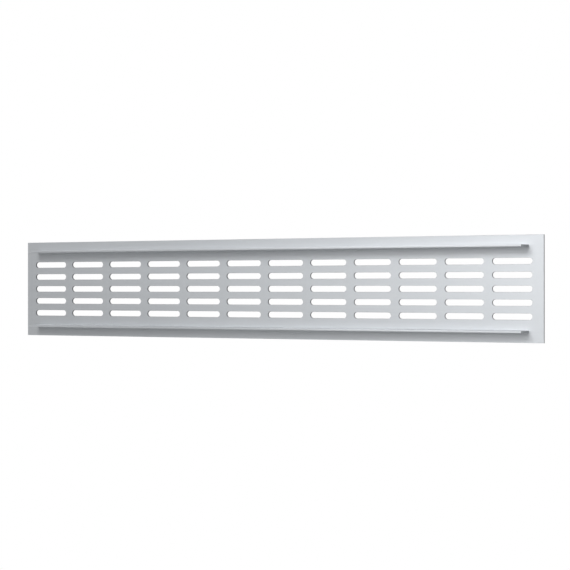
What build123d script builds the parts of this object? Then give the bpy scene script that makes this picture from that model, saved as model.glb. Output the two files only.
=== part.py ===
from build123d import *
import os

os.makedirs("parts", exist_ok=True)

# Door vent grille: one length of extruded aluminium, a flat plate with two ribs on its rear face.
# The ribs are cut back at both ends, and the plate between them is punched with rows of slots.
# X runs along the grille and Z is up. Y = 0 is the rear face of the plate, which seats on the door.
# The ribs point to -Y, into the door, and the seen face points to +Y. All sizes are in millimetres.

# Plate that covers the cut-out in the door
plate_length = 480.0
plate_height = 80.0
plate_thickness = 1.5
seen_edge_radius = 0.5

# Cut-out that the ribs drop into, with the gap left on each side
cutout_length = 457.0
cutout_height = 66.0
cutout_clearance = 0.5

# Ribs, measured from the rear face of the plate
rib_depth = 14.0
rib_thickness = 1.5
rib_tip_radius = 0.3

# Slots with full round ends, and the strips of metal left around them
slot_length = 32.3
slot_width = 4.8
column_web = 6.75
row_web = 5.5
least_end_margin = 8.0
least_rib_margin = 5.0

# Ribs fit the cut-out, and the fillet at their root stays within the gap
rib_root_radius = cutout_clearance
rib_length = cutout_length - 2 * cutout_clearance
rib_outer_span = cutout_height - 2 * cutout_clearance
rib_inner_span = rib_outer_span - 2 * rib_thickness
rib_centre_span = rib_outer_span - rib_thickness
rib_setback = (plate_length - rib_length) / 2

# As many whole slots as the plate has room for, centred on it
column_pitch = slot_length + column_web
row_pitch = slot_width + row_web
column_count = int((plate_length - 2 * least_end_margin + column_web) // column_pitch)
row_count = int((rib_inner_span - 2 * least_rib_margin + row_web) // row_pitch)

with BuildPart() as grille:
    # Section of the extrusion: local X is depth, local Y is height
    with BuildSketch(Plane.YZ.offset(-plate_length / 2)) as section:
        Rectangle(plate_thickness, plate_height, align=(Align.MIN, Align.CENTER))
        with GridLocations(0, rib_centre_span, 1, 2):
            Rectangle(rib_depth, rib_thickness, align=(Align.MAX, Align.CENTER))
        seen_corners = section.vertices().group_by(Axis.X)[-1]
        fillet(seen_corners, seen_edge_radius)
        rib_tips = section.vertices().group_by(Axis.X)[0]
        fillet(rib_tips, rib_tip_radius)
        rear_corners = section.vertices().filter_by_position(Axis.X, 0, 0)
        rib_roots = rear_corners.sort_by(Axis.Y)[1:-1]
        fillet(rib_roots, rib_root_radius)
    extrude(amount=plate_length)

    # Both ends of the ribs are milled off flush with the rear face
    with BuildSketch(Plane.XZ) as rib_ends:
        with GridLocations((plate_length + rib_length) / 2, 0, 2, 1):
            Rectangle(rib_setback, plate_height)
    extrude(amount=rib_depth, mode=Mode.SUBTRACT)

    # Slots are punched through the plate
    with BuildSketch(Plane.XZ) as slot_field:
        with GridLocations(column_pitch, row_pitch, column_count, row_count):
            SlotOverall(slot_length, slot_width)
    extrude(amount=-plate_thickness, mode=Mode.SUBTRACT)

grille.part.label = "grille"
export_step(grille.part, "parts/grille.step")
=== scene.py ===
import math
import bmesh
import bpy
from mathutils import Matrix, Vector


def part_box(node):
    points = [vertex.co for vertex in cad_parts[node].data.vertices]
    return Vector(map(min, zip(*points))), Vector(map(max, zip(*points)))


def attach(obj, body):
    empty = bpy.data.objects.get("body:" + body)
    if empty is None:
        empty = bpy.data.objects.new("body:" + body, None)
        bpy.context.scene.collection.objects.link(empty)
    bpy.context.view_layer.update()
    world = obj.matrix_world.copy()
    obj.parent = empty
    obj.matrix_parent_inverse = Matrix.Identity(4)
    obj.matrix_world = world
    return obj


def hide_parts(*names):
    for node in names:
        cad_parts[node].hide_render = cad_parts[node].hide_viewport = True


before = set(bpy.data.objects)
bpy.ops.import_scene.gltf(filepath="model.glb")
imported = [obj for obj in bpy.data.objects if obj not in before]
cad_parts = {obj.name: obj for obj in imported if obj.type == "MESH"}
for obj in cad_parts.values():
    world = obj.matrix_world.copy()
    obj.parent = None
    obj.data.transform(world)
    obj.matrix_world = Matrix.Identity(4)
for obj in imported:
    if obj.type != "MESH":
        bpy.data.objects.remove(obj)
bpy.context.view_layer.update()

low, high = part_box("grille")
mm = 1000                    # to a metre
print("frame loaded, grille of", [round(mm * (b - a), 1) for a, b in zip(low, high)], "mm")

scene = bpy.context.scene
scene.view_settings.view_transform = "Standard"


# the grille: x along it, z up, rear face at y = 0, ribs to -y, seen face at +y, all in metres

plate = {
    "halfLength": high.x,
    "halfHeight": high.z,
    "thickness": high.y,
    "seenRadius": 0.0005,    # both long edges of the seen face
    "edgeBreak": 0.00015,    # other edges, rubbed down after sawing
    "arcSteps": 6,
}

ribs = {
    "depth": -low.y,
    "outerSpan": 0.065,
    "length": 0.456,
    "thickness": 0.0015,
    "rootRadius": 0.0005,
    "tipRadius": 0.0003,
    "endBreak": 0.00012,     # edge round each milled end
    "breakRunOut": 0.001,    # the edge break dies away over this, towards the plate
    "arcSteps": 6,
}

slots = {
    "length": 0.0323,
    "width": 0.0048,
    "columnPitch": 0.03905,
    "rowPitch": 0.0103,
    "columns": 12,
    "rows": 5,
    "endSteps": 20,          # faces round each slot end
    "rollOver": 0.00022,     # the punch draws the seen face in
    "rollSteps": 3,
    "rearBreak": 0.0001,     # what is left of the burr at the rear
}

finishOrder = ["satinAnodised", "ribShadedSatin", "shadedPunchedWall", "shadedSawnEnd"]
roundStep = 0.0005           # a face with an edge under this is part of a rounding, and is shaded smooth
weldScale = 1e7              # points are one if they agree to a ten-millionth of a metre


def arc(centre, radius, start, end, steps):
    # points in the section, as (y, z), angles in degrees from +y towards +z
    points = []
    for i in range(steps + 1):
        turn = math.radians(start + (end - start) * i / steps)
        points.append((centre[0] + radius * math.cos(turn), centre[1] + radius * math.sin(turn)))
    return points


def slotLoop(centreX, centreZ, grow):
    radius = slots["width"] / 2 + grow
    reach = (slots["length"] - slots["width"]) / 2
    points = []
    for side in (1, -1):
        for i in range(slots["endSteps"] + 1):
            turn = math.pi * (i / slots["endSteps"] - 0.5)
            x = centreX + side * (reach + radius * math.cos(turn))
            points.append((x, centreZ + side * radius * math.sin(turn)))
    return points


def cellLoop(centreX, centreZ):
    # the rectangle round one slot, with a point for each point of the slot
    points = []
    for side in (1, -1):
        for i in range(slots["endSteps"] + 1):
            rise = 2 * i / slots["endSteps"] - 1
            x = centreX + side * slots["columnPitch"] / 2
            points.append((x, centreZ + side * rise * slots["rowPitch"] / 2))
    return points


def slotSteps():
    # how far each ring stands outside the slot, and its depth, from the rear to the seen face
    thick = plate["thickness"]
    roll = slots["rollOver"]
    steps = [(slots["rearBreak"], 0.0), (0.0, slots["rearBreak"])]
    for i in range(slots["rollSteps"] + 1):
        turn = math.pi / 2 * i / slots["rollSteps"]
        steps.append((roll * (1 - math.cos(turn)), thick - roll * (1 - math.sin(turn))))
    return steps


def plateSection(inset):
    # closed outline of the plate as (y, z), counted up the rear face and down the seen face
    top = plate["halfHeight"]
    thick = plate["thickness"]
    cut = plate["edgeBreak"]
    radius = plate["seenRadius"]
    field = slots["rows"] * slots["rowPitch"] / 2
    half = [(inset, field), (inset, top - cut), (cut, top - inset)]
    half += arc((thick - radius, top - radius), radius - inset, 90, 0, plate["arcSteps"])
    half += [(thick - inset, field)]
    return half + [(y, -z) for y, z in reversed(half)]


def ribSection(inset):
    # the upper rib from its outer root round the tip to its inner root, as (y, z)
    outer = ribs["outerSpan"] / 2
    inner = outer - ribs["thickness"]
    root = ribs["rootRadius"]
    tip = ribs["tipRadius"]
    steps = ribs["arcSteps"]
    end = tip - ribs["depth"]
    points = arc((-root, outer + root), root, 0, -90, steps)
    points += arc((end, outer - tip), tip - inset, 90, 180, steps)
    points += arc((end, inner + tip), tip - inset, 180, 270, steps)
    points += arc((-root, inner - root), root, 90, 0, steps)
    middle = (outer + inner) / 2
    moved = []
    for y, z in points:
        if y > end:
            side = 1 if z > middle else -1
            z = z - side * inset * min(1, -y / ribs["breakRunOut"])
        moved.append((y, z))
    return moved


def buildGrille():
    bm = bmesh.new()
    welded = {}

    def corner(x, y, z):
        key = (round(x * weldScale), round(y * weldScale), round(z * weldScale))
        if key not in welded:
            welded[key] = bm.verts.new((x, y, z))
        return welded[key]

    def addFace(points, finish="satinAnodised", smooth=False):
        ring = []
        for p in points:
            v = corner(*p)
            if v not in ring:
                ring.append(v)
        if len(ring) < 3:
            return
        face = bm.faces.new(ring)
        face.material_index = finishOrder.index(finish)
        face.smooth = smooth

    def bridge(ringA, ringB, finish="satinAnodised", rounded=False, closed=True):
        count = len(ringA)
        for i in range(count if closed else count - 1):
            j = (i + 1) % count
            shortest = min(math.dist(ringA[i], ringA[j]), math.dist(ringA[i], ringB[i]))
            addFace([ringA[i], ringA[j], ringB[j], ringB[i]], finish, rounded and shortest < roundStep)

    def buildSlots():
        steps = slotSteps()
        for column in range(slots["columns"]):
            centreX = (column - (slots["columns"] - 1) / 2) * slots["columnPitch"]
            for row in range(slots["rows"]):
                centreZ = (row - (slots["rows"] - 1) / 2) * slots["rowPitch"]
                cell = cellLoop(centreX, centreZ)
                rings = []
                for grow, y in steps:
                    rings.append([(x, y, z) for x, z in slotLoop(centreX, centreZ, grow)])
                bridge([(x, 0.0, z) for x, z in cell], rings[0])
                bridge(rings[0], rings[1], "shadedPunchedWall")
                bridge(rings[1], rings[2], "shadedPunchedWall", rounded=True)
                for ringA, ringB in zip(rings[2:], rings[3:]):
                    bridge(ringA, ringB, rounded=True)
                bridge(rings[-1], [(x, plate["thickness"], z) for x, z in cell])

    fieldX = slots["columns"] * slots["columnPitch"] / 2
    fieldZ = slots["rows"] * slots["rowPitch"] / 2
    flatX = plate["halfLength"] - plate["edgeBreak"]
    ribX = ribs["length"] / 2
    ribFlatX = ribX - ribs["endBreak"]
    outerRoot = ribs["outerSpan"] / 2 + ribs["rootRadius"]
    innerRoot = ribs["outerSpan"] / 2 - ribs["thickness"] - ribs["rootRadius"]
    columnEdges = [i * slots["columnPitch"] - fieldX for i in range(slots["columns"] + 1)]
    sideCount = slots["rows"] * slots["endSteps"]
    sideEdges = [i * 2 * fieldZ / sideCount - fieldZ for i in range(sideCount + 1)]

    def buildFlats():
        # what is left of the rear and seen faces: beside the slots, then above or below them
        thick = plate["thickness"]
        rearTop = plate["halfHeight"] - plate["edgeBreak"]
        seenTop = plate["halfHeight"] - plate["seenRadius"]
        for side in (1, -1):
            for y in (0.0, thick):
                strip = [(side * fieldX, y, z) for z in sideEdges]
                addFace(strip + [(side * flatX, y, fieldZ), (side * flatX, y, -fieldZ)])
            seen = [(-flatX, fieldZ)] + [(x, fieldZ) for x in columnEdges] + [(flatX, fieldZ)]
            seen += [(flatX, seenTop), (-flatX, seenTop)]
            addFace([(x, thick, side * z) for x, z in seen])
            within = [(x, fieldZ) for x in columnEdges]
            within += [(ribX, innerRoot), (ribFlatX, innerRoot), (-ribFlatX, innerRoot), (-ribX, innerRoot)]
            addFace([(x, 0.0, side * z) for x, z in within])
            border = [(-ribX, outerRoot), (-ribFlatX, outerRoot), (ribFlatX, outerRoot), (ribX, outerRoot)]
            border += [(flatX, rearTop), (-flatX, rearTop)]
            addFace([(x, 0.0, side * z) for x, z in border])
            for hand in (1, -1):
                patch = [(ribX, innerRoot), (fieldX, fieldZ), (flatX, fieldZ)]
                patch += [(flatX, rearTop), (ribX, outerRoot)]
                addFace([(hand * x, 0.0, side * z) for x, z in patch])

    def buildEdges():
        outline = plateSection(0.0)
        small = plateSection(plate["edgeBreak"])
        half = len(outline) // 2
        # both long edges, then the sawn ends with their edges broken
        for first in (1, half + 1):
            stretch = outline[first:first + half - 2]
            left = [(-flatX, y, z) for y, z in stretch]
            right = [(flatX, y, z) for y, z in stretch]
            bridge(left, right, rounded=True, closed=False)
        for side in (1, -1):
            rim = [(side * flatX, y, z) for y, z in outline]
            cap = [(side * plate["halfLength"], y, z) for y, z in small]
            bridge(rim, cap, "shadedSawnEnd")
            addFace(cap, "shadedSawnEnd")

    def buildRibs():
        full = ribSection(0.0)
        small = ribSection(ribs["endBreak"])
        tipStart = ribs["arcSteps"] + 1
        tipEnd = len(full) - tipStart
        for up in (1, -1):
            left = [(-ribFlatX, y, up * z) for y, z in full]
            right = [(ribFlatX, y, up * z) for y, z in full]
            # outer side, tip and inner side; both sides take the darker rib finish, which is painted shade
            bridge(left[:tipStart + 1], right[:tipStart + 1], "ribShadedSatin", rounded=True, closed=False)
            bridge(left[tipStart:tipEnd], right[tipStart:tipEnd], rounded=True, closed=False)
            bridge(left[tipEnd - 1:], right[tipEnd - 1:], "ribShadedSatin", rounded=True, closed=False)
            for side in (1, -1):
                rim = [(side * ribFlatX, y, up * z) for y, z in full]
                cap = [(side * ribX, y, up * z) for y, z in small]
                bridge(rim, cap, "shadedSawnEnd", closed=False)
                addFace(cap, "shadedSawnEnd")

    buildSlots()
    buildFlats()
    buildEdges()
    buildRibs()
    bmesh.ops.recalc_face_normals(bm, faces=bm.faces)
    openEdges = [e for e in bm.edges if len(e.link_faces) != 2]
    print("grille mesh:", len(bm.verts), "points,", len(bm.faces), "faces, open edges", len(openEdges))
    print("grille volume", round(bm.calc_volume() * mm ** 3), "cubic mm")

    mesh = bpy.data.meshes.new("ventGrille")
    bm.to_mesh(mesh)
    bm.free()
    piece = bpy.data.objects.new("ventGrille", mesh)
    scene.collection.objects.link(piece)
    return piece


satin = {
    "light": (0.700, 0.722, 0.746, 1),     # linear colour, between these two
    "dark": (0.662, 0.686, 0.712, 1),
    "roughness": (0.48, 0.54),
    "lineScale": (5, 900, 900),            # extrusion lines: steps per metre along, through and up
    "lineDetail": 3.0,
    "fineLineScale": (14, 4200, 4200),
    "fineLineShare": 0.4,                  # shares are how much is mixed into the lines
    "cloudScale": (16, 16, 16),
    "cloudShare": 0.4,
    "grainScale": (6500, 6500, 6500),
    "grainShare": 0.5,
    "grainDepth": 0.000006,
}

# the sides of the ribs, rougher than the plate and painted a little darker: painted shade, so that less
# light bounces off them onto the plate beside them
ribShadedSatin = {
    **satin,
    "light": (0.640, 0.659, 0.682, 1),
    "dark": (0.600, 0.618, 0.639, 1),
    "roughness": (0.58, 0.64),
}

# slot walls, painted much darker than the plate as painted shade inside the slots; the clean-cut and torn
# bands are the punch's own marks
punched = {
    "burnishedInShade": (0.312, 0.322, 0.333, 1),
    "tornInShade": (0.180, 0.187, 0.194, 1),
    "roughness": (0.60, 0.80),
    "burnishFrom": 0.0011,                 # height above the rear face where the clean cut starts
    "tornBelow": 0.0006,
    "wallTones": (0.25, 0.75),             # torn and clean cut, before the scores are mixed in
    "scoreScale": (2600, 160, 2600),       # scores run through the plate
    "scoreDetail": 3.0,
    "scoreShare": 0.4,
    "scoreDepth": 0.00002,
}

# sawn and milled ends, painted darker than the plate as painted shade; the saw marks are their own
sawn = {
    "light": (0.426, 0.441, 0.456, 1),
    "dark": (0.348, 0.360, 0.372, 1),
    "roughness": (0.66, 0.78),
    "markScale": 640,                      # saw marks about half a millimetre apart
    "markWander": 2.5,
    "markDetail": 2.0,
    "markDepth": 0.000012,
    "grainShare": 0.5,
}

noiseReach = (0.3, 0.7)                    # nearly all of a noise lies between these


def newFinish(name):
    mat = bpy.data.materials.new(name)
    mat.use_nodes = True
    tree = mat.node_tree
    shader = tree.nodes["Principled BSDF"]
    shader.inputs["Metallic"].default_value = 1.0
    return mat, tree, shader


def pieceNoise(tree, scale, detail=2.0):
    # noise fixed to the grille, scale in steps per metre
    coords = tree.nodes.new("ShaderNodeTexCoord")
    mapping = tree.nodes.new("ShaderNodeMapping")
    mapping.inputs["Scale"].default_value = scale
    noise = tree.nodes.new("ShaderNodeTexNoise")
    noise.inputs["Scale"].default_value = 1.0
    noise.inputs["Detail"].default_value = detail
    tree.links.new(coords.outputs["Object"], mapping.inputs["Vector"])
    tree.links.new(mapping.outputs["Vector"], noise.inputs["Vector"])
    return noise.outputs["Fac"]


def average(tree, first, second, share):
    mix = tree.nodes.new("ShaderNodeMix")
    mix.inputs["Factor"].default_value = share
    tree.links.new(first, mix.inputs["A"])
    tree.links.new(second, mix.inputs["B"])
    return mix.outputs["Result"]


def spread(tree, value, ends, reach=noiseReach):
    ramp = tree.nodes.new("ShaderNodeMapRange")
    ramp.inputs["From Min"].default_value = reach[0]
    ramp.inputs["From Max"].default_value = reach[1]
    ramp.inputs["To Min"].default_value = ends[0]
    ramp.inputs["To Max"].default_value = ends[1]
    tree.links.new(value, ramp.inputs["Value"])
    return ramp.outputs["Result"]


def colourBetween(tree, value, first, second):
    ramp = tree.nodes.new("ShaderNodeValToRGB")
    ramp.color_ramp.elements[0].position = noiseReach[0]
    ramp.color_ramp.elements[0].color = first
    ramp.color_ramp.elements[1].position = noiseReach[1]
    ramp.color_ramp.elements[1].color = second
    tree.links.new(value, ramp.inputs["Fac"])
    return ramp.outputs["Color"]


def roughen(tree, shader, height, depth):
    bump = tree.nodes.new("ShaderNodeBump")
    bump.inputs["Strength"].default_value = 1.0
    bump.inputs["Distance"].default_value = depth
    tree.links.new(height, bump.inputs["Height"])
    tree.links.new(bump.outputs["Normal"], shader.inputs["Normal"])


def drawnSatin(name, look):
    mat, tree, shader = newFinish(name)
    lines = pieceNoise(tree, look["lineScale"], look["lineDetail"])
    fineLines = pieceNoise(tree, look["fineLineScale"])
    clouds = pieceNoise(tree, look["cloudScale"])
    grain = pieceNoise(tree, look["grainScale"])
    drawn = average(tree, lines, fineLines, look["fineLineShare"])
    tone = average(tree, drawn, clouds, look["cloudShare"])
    tree.links.new(colourBetween(tree, tone, look["dark"], look["light"]), shader.inputs["Base Color"])
    sheen = average(tree, drawn, grain, look["grainShare"])
    tree.links.new(spread(tree, sheen, look["roughness"]), shader.inputs["Roughness"])
    roughen(tree, shader, sheen, look["grainDepth"])
    return mat


def shadedPunchedWall():
    # the punch cuts cleanly from the seen face, and the metal tears off before it reaches the rear; the
    # whole wall is also painted dark, as painted shade inside the slots
    mat, tree, shader = newFinish("shadedPunchedWall")
    scores = pieceNoise(tree, punched["scoreScale"], punched["scoreDetail"])
    coords = tree.nodes.new("ShaderNodeTexCoord")
    split = tree.nodes.new("ShaderNodeSeparateXYZ")
    tree.links.new(coords.outputs["Object"], split.inputs["Vector"])
    heights = (punched["tornBelow"], punched["burnishFrom"])
    clean = spread(tree, split.outputs["Y"], punched["wallTones"], heights)
    tone = average(tree, clean, scores, punched["scoreShare"])
    colour = colourBetween(tree, tone, punched["tornInShade"], punched["burnishedInShade"])
    tree.links.new(colour, shader.inputs["Base Color"])
    tree.links.new(spread(tree, tone, punched["roughness"][::-1]), shader.inputs["Roughness"])
    roughen(tree, shader, scores, punched["scoreDepth"])
    return mat


def shadedSawnEnd():
    # painted shade: the ends are darker than the plate, with the saw marks running across them
    mat, tree, shader = newFinish("shadedSawnEnd")
    coords = tree.nodes.new("ShaderNodeTexCoord")
    marks = tree.nodes.new("ShaderNodeTexWave")
    marks.bands_direction = "Z"
    marks.inputs["Scale"].default_value = sawn["markScale"]
    marks.inputs["Distortion"].default_value = sawn["markWander"]
    marks.inputs["Detail"].default_value = sawn["markDetail"]
    tree.links.new(coords.outputs["Object"], marks.inputs["Vector"])
    grain = pieceNoise(tree, satin["grainScale"])
    tone = average(tree, marks.outputs["Fac"], grain, sawn["grainShare"])
    tree.links.new(colourBetween(tree, tone, sawn["dark"], sawn["light"]), shader.inputs["Base Color"])
    tree.links.new(spread(tree, tone, sawn["roughness"]), shader.inputs["Roughness"])
    roughen(tree, shader, tone, sawn["markDepth"])
    return mat


ventGrille = buildGrille()
finishes = {
    "satinAnodised": drawnSatin("satinAnodised", satin),
    "ribShadedSatin": drawnSatin("ribShadedSatin", ribShadedSatin),
    "shadedPunchedWall": shadedPunchedWall(),
    "shadedSawnEnd": shadedSawnEnd(),
}
for name in finishOrder:
    ventGrille.data.materials.append(finishes[name])
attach(ventGrille, "root")
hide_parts("grille")
print("finishes laid on:", ", ".join(finishOrder))


cameraView = {
    "place": (0.7594, -1.2506, 0.0007),
    "turn": 30.62,       # degrees it looks to the left of straight on
    "rise": 0.093,       # degrees it looks up
    "lean": 0.03,        # degrees about the line of sight
    "lens": 115.42,
    "sensor": 36.0,
    "clip": (0.05, 30.0),
}


def placeCamera():
    data = bpy.data.cameras.new("camera")
    data.sensor_width = cameraView["sensor"]
    data.lens = cameraView["lens"]
    data.clip_start, data.clip_end = cameraView["clip"]
    cam = bpy.data.objects.new("camera", data)
    cam.location = cameraView["place"]
    angles = (90 + cameraView["rise"], cameraView["lean"], cameraView["turn"])    # 90 is level
    cam.rotation_euler = [math.radians(a) for a in angles]
    scene.collection.objects.link(cam)
    scene.camera = cam
    print("camera placed")


placeCamera()


studio = {
    "whiteWay": (-0.78, 0.626, 0.0),     # the white end of the studio is behind the grille
    "whiteWithin": 30,                  # degrees from there
    "greyBeyond": 85,
    "farWhiteWithin": 20,               # a smaller white end faces it, to the right of the camera
    "farGreyBeyond": 45,
    "grey": 0.15,
    "floorDrop": 0.6,
    "floorRadius": 1.45,
    "floorFade": 0.6,                   # the rim of the floor fades away over this
    "floorSides": 96,
    "floorColour": (0.72, 0.72, 0.72, 1),
    "floorRoughness": 0.9,
}

# soft lamps, two before the rear face and one before the seen face
# turn is round from straight on to the rear face towards +x, rise is up, in degrees
keyBox = {"turn": 1, "rise": 26, "distance": 2.4, "size": (1.3, 0.55), "radiance": 6.9}
fillBox = {"turn": 1, "rise": 25, "distance": 2.7, "size": (1.5, 2.4), "radiance": 3.4}
backBox = {"turn": 120, "rise": -8, "distance": 2.4, "size": (0.9, 1.1), "radiance": 2.8}


def surround():
    # white at both ends, the larger one behind the grille, and grey between them
    world = bpy.data.worlds.new("studio")
    scene.world = world
    world.use_nodes = True
    tree = world.node_tree
    coords = tree.nodes.new("ShaderNodeTexCoord")
    along = tree.nodes.new("ShaderNodeVectorMath")
    along.operation = "DOT_PRODUCT"
    along.inputs[1].default_value = studio["whiteWay"]
    tree.links.new(coords.outputs["Generated"], along.inputs[0])

    def whiteEnd(side, greyBeyond, whiteWithin):
        ramp = tree.nodes.new("ShaderNodeMapRange")
        ramp.interpolation_type = "SMOOTHSTEP"
        ramp.inputs["From Min"].default_value = side * math.cos(math.radians(greyBeyond))
        ramp.inputs["From Max"].default_value = side * math.cos(math.radians(whiteWithin))
        ramp.inputs["To Min"].default_value = studio["grey"]
        ramp.inputs["To Max"].default_value = 1.0
        tree.links.new(along.outputs["Value"], ramp.inputs["Value"])
        return ramp.outputs["Result"]

    brighter = tree.nodes.new("ShaderNodeMath")
    brighter.operation = "MAXIMUM"
    tree.links.new(whiteEnd(1, studio["greyBeyond"], studio["whiteWithin"]), brighter.inputs[0])
    tree.links.new(whiteEnd(-1, studio["farGreyBeyond"], studio["farWhiteWithin"]), brighter.inputs[1])
    back = tree.nodes["Background"]
    back.inputs["Color"].default_value = (1, 1, 1, 1)
    tree.links.new(brighter.outputs["Value"], back.inputs["Strength"])
    print("surround lit")


def softbox(name, box):
    width, height = box["size"]
    data = bpy.data.lights.new(name, "AREA")
    data.shape = "RECTANGLE"
    data.size = width
    data.size_y = height
    data.energy = box["radiance"] * math.pi * width * height
    lamp = bpy.data.objects.new(name, data)
    turn = math.radians(box["turn"])
    rise = math.radians(box["rise"])
    way = Vector((math.sin(turn) * math.cos(rise), -math.cos(turn) * math.cos(rise), math.sin(rise)))
    lamp.location = box["distance"] * way
    lamp.rotation_euler = way.to_track_quat("Z", "Y").to_euler()
    lamp.visible_camera = False
    scene.collection.objects.link(lamp)
    print(name, "hung")


def paleFloor():
    bm = bmesh.new()
    bmesh.ops.create_circle(bm, cap_ends=True, radius=studio["floorRadius"], segments=studio["floorSides"])
    mesh = bpy.data.meshes.new("paleFloor")
    bm.to_mesh(mesh)
    bm.free()
    floor = bpy.data.objects.new("paleFloor", mesh)
    floor.location.z = -studio["floorDrop"]
    scene.collection.objects.link(floor)
    mat = bpy.data.materials.new("paleFloor")
    mat.use_nodes = True
    tree = mat.node_tree
    shader = tree.nodes["Principled BSDF"]
    shader.inputs["Base Color"].default_value = studio["floorColour"]
    shader.inputs["Roughness"].default_value = studio["floorRoughness"]
    coords = tree.nodes.new("ShaderNodeTexCoord")
    reach = tree.nodes.new("ShaderNodeVectorMath")
    reach.operation = "LENGTH"
    fade = tree.nodes.new("ShaderNodeMapRange")
    fade.interpolation_type = "SMOOTHSTEP"
    fade.inputs["From Min"].default_value = studio["floorRadius"] - studio["floorFade"]
    fade.inputs["From Max"].default_value = studio["floorRadius"]
    fade.inputs["To Min"].default_value = 1.0
    fade.inputs["To Max"].default_value = 0.0
    tree.links.new(coords.outputs["Object"], reach.inputs[0])
    tree.links.new(reach.outputs["Value"], fade.inputs["Value"])
    tree.links.new(fade.outputs["Result"], shader.inputs["Alpha"])
    mesh.materials.append(mat)
    print("floor laid")


surround()
softbox("keyBox", keyBox)
softbox("fillBox", fillBox)
softbox("backBox", backBox)
paleFloor()
